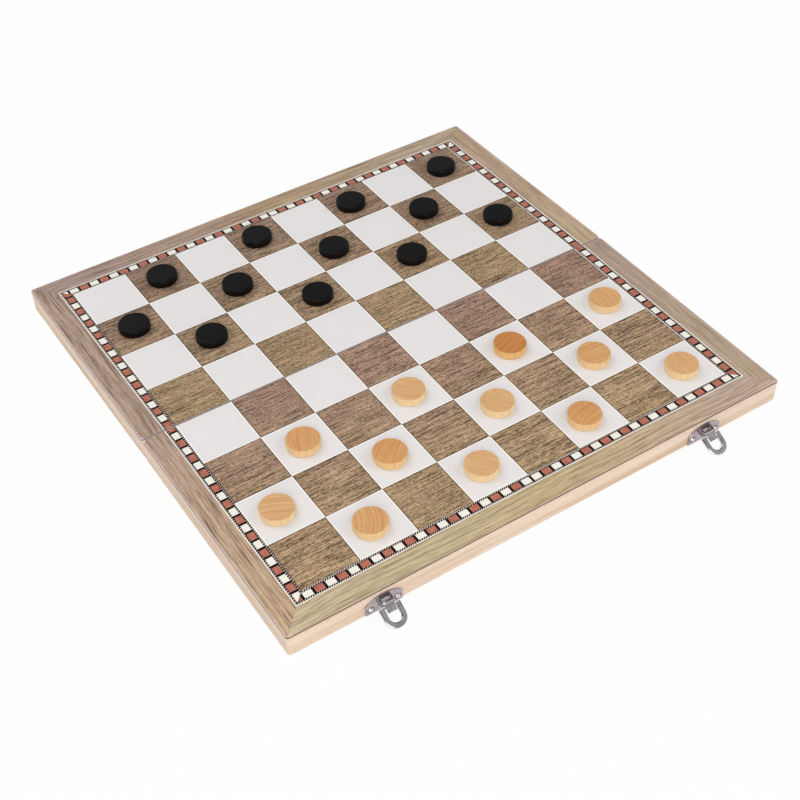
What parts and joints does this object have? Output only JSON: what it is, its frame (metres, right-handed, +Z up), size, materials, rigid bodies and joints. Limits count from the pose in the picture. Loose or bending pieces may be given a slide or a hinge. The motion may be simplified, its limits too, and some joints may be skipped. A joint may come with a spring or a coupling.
{
  "type": "games compendium box",
  "caption": "Folding wooden games box laid open as a draughts board, with two trays, butt hinges, two swinging hasps and a set of loose draughts.",
  "frame": {"origin": "on the table under the middle of the fold", "axes": "X along the fold, -Y towards the wall with the hasps, +Z up out of the playing face"},
  "size_m": [0.39, 0.4163, 0.0251],
  "materials": {
    "rail": "fine-sanded pale beech, bare",
    "panel": "thin fibreboard",
    "printed_face": "satin printed sheet",
    "lining": "satin printed sheet",
    "hinge": "nickel-plated steel",
    "hasp": "bright nickel plate",
    "dark_draught": "matt black stain",
    "light_draught": "clear satin lacquer"
  },
  "bodies": {
    "front_half": {"front_long_rail": "rail", "front_fold_rail": "rail", "front_left_rail": "rail", "front_right_rail": "rail", "front_panel": "panel", "front_printed_face": "printed_face", "front_tray_lining": "lining", "left_hinge_front_leaf": "hinge", "right_hinge_front_leaf": "hinge", "left_hinge_pin": "hinge", "right_hinge_pin": "hinge", "front_hinge_screws": "hinge", "left_latch_plate": "hasp", "right_latch_plate": "hasp", "left_latch_pin": "hasp", "right_latch_pin": "hasp", "latch_nails": "hasp"},
    "back_half": {"back_long_rail": "rail", "back_fold_rail": "rail", "back_left_rail": "rail", "back_right_rail": "rail", "back_panel": "panel", "back_printed_face": "printed_face", "back_tray_lining": "lining", "left_hinge_back_leaf": "hinge", "right_hinge_back_leaf": "hinge", "back_hinge_screws": "hinge", "left_catch_plate": "hasp", "right_catch_plate": "hasp", "catch_nails": "hasp"},
    "left_latch_lever": {"left_latch_lever": "hasp"},
    "right_latch_lever": {"right_latch_lever": "hasp"},
    "dark_draught_01": {"dark_draught_01": "dark_draught"},
    "dark_draught_02": {"dark_draught_02": "dark_draught"},
    "dark_draught_03": {"dark_draught_03": "dark_draught"},
    "dark_draught_04": {"dark_draught_04": "dark_draught"},
    "dark_draught_05": {"dark_draught_05": "dark_draught"},
    "dark_draught_06": {"dark_draught_06": "dark_draught"},
    "dark_draught_07": {"dark_draught_07": "dark_draught"},
    "dark_draught_08": {"dark_draught_08": "dark_draught"},
    "dark_draught_09": {"dark_draught_09": "dark_draught"},
    "dark_draught_10": {"dark_draught_10": "dark_draught"},
    "dark_draught_11": {"dark_draught_11": "dark_draught"},
    "dark_draught_12": {"dark_draught_12": "dark_draught"},
    "light_draught_01": {"light_draught_01": "light_draught"},
    "light_draught_02": {"light_draught_02": "light_draught"},
    "light_draught_03": {"light_draught_03": "light_draught"},
    "light_draught_04": {"light_draught_04": "light_draught"},
    "light_draught_05": {"light_draught_05": "light_draught"},
    "light_draught_06": {"light_draught_06": "light_draught"},
    "light_draught_07": {"light_draught_07": "light_draught"},
    "light_draught_08": {"light_draught_08": "light_draught"},
    "light_draught_09": {"light_draught_09": "light_draught"},
    "light_draught_10": {"light_draught_10": "light_draught"},
    "light_draught_11": {"light_draught_11": "light_draught"},
    "light_draught_12": {"light_draught_12": "light_draught"}
  },
  "joints": [
    {"name": "fold", "type": "hinge", "parent": "front_half", "child": "back_half", "pos_m": [0, 0, 0.00175], "axis": [-1, 0, 0], "range_deg": [-1.12, 178.88]},
    {"name": "left_lever_swing", "type": "hinge", "parent": "front_half", "child": "left_latch_lever", "pos_m": [-0.1283, -0.19958, 0.00896], "axis": [-1, 0, 0], "range_deg": [-62.62, 107.38]},
    {"name": "right_lever_swing", "type": "hinge", "parent": "front_half", "child": "right_latch_lever", "pos_m": [0.1283, -0.19958, 0.00896], "axis": [-1, 0, 0], "range_deg": [-62.62, 107.38]},
    {"name": "dark_draught_01_lift", "type": "slide", "parent": "back_half", "child": "dark_draught_01", "axis": [0, 0.0097, 1], "range_m": [0, 0.03]},
    {"name": "dark_draught_02_lift", "type": "slide", "parent": "back_half", "child": "dark_draught_02", "axis": [0, 0.0097, 1], "range_m": [0, 0.03]},
    {"name": "dark_draught_03_lift", "type": "slide", "parent": "back_half", "child": "dark_draught_03", "axis": [0, 0.0097, 1], "range_m": [0, 0.03]},
    {"name": "dark_draught_04_lift", "type": "slide", "parent": "back_half", "child": "dark_draught_04", "axis": [0, 0.0097, 1], "range_m": [0, 0.03]},
    {"name": "dark_draught_05_lift", "type": "slide", "parent": "back_half", "child": "dark_draught_05", "axis": [0, 0.0097, 1], "range_m": [0, 0.03]},
    {"name": "dark_draught_06_lift", "type": "slide", "parent": "back_half", "child": "dark_draught_06", "axis": [0, 0.0097, 1], "range_m": [0, 0.03]},
    {"name": "dark_draught_07_lift", "type": "slide", "parent": "back_half", "child": "dark_draught_07", "axis": [0, 0.0097, 1], "range_m": [0, 0.03]},
    {"name": "dark_draught_08_lift", "type": "slide", "parent": "back_half", "child": "dark_draught_08", "axis": [0, 0.0097, 1], "range_m": [0, 0.03]},
    {"name": "dark_draught_09_lift", "type": "slide", "parent": "back_half", "child": "dark_draught_09", "axis": [0, 0.0097, 1], "range_m": [0, 0.03]},
    {"name": "dark_draught_10_lift", "type": "slide", "parent": "back_half", "child": "dark_draught_10", "axis": [0, 0.0097, 1], "range_m": [0, 0.03]},
    {"name": "dark_draught_11_lift", "type": "slide", "parent": "back_half", "child": "dark_draught_11", "axis": [0, 0.0097, 1], "range_m": [0, 0.03]},
    {"name": "dark_draught_12_lift", "type": "slide", "parent": "back_half", "child": "dark_draught_12", "axis": [0, 0.0097, 1], "range_m": [0, 0.03]},
    {"name": "light_draught_01_lift", "type": "slide", "parent": "front_half", "child": "light_draught_01", "axis": [0, -0.0097, 1], "range_m": [0, 0.03]},
    {"name": "light_draught_02_lift", "type": "slide", "parent": "front_half", "child": "light_draught_02", "axis": [0, -0.0097, 1], "range_m": [0, 0.03]},
    {"name": "light_draught_03_lift", "type": "slide", "parent": "front_half", "child": "light_draught_03", "axis": [0, -0.0097, 1], "range_m": [0, 0.03]},
    {"name": "light_draught_04_lift", "type": "slide", "parent": "front_half", "child": "light_draught_04", "axis": [0, -0.0097, 1], "range_m": [0, 0.03]},
    {"name": "light_draught_05_lift", "type": "slide", "parent": "front_half", "child": "light_draught_05", "axis": [0, -0.0097, 1], "range_m": [0, 0.03]},
    {"name": "light_draught_06_lift", "type": "slide", "parent": "front_half", "child": "light_draught_06", "axis": [0, -0.0097, 1], "range_m": [0, 0.03]},
    {"name": "light_draught_07_lift", "type": "slide", "parent": "front_half", "child": "light_draught_07", "axis": [0, -0.0097, 1], "range_m": [0, 0.03]},
    {"name": "light_draught_08_lift", "type": "slide", "parent": "front_half", "child": "light_draught_08", "axis": [0, -0.0097, 1], "range_m": [0, 0.03]},
    {"name": "light_draught_09_lift", "type": "slide", "parent": "front_half", "child": "light_draught_09", "axis": [0, -0.0097, 1], "range_m": [0, 0.03]},
    {"name": "light_draught_10_lift", "type": "slide", "parent": "front_half", "child": "light_draught_10", "axis": [0, -0.0097, 1], "range_m": [0, 0.03]},
    {"name": "light_draught_11_lift", "type": "slide", "parent": "front_half", "child": "light_draught_11", "axis": [0, -0.0097, 1], "range_m": [0, 0.03]},
    {"name": "light_draught_12_lift", "type": "slide", "parent": "front_half", "child": "light_draught_12", "axis": [0, -0.0097, 1], "range_m": [0, 0.03]}
  ]
}
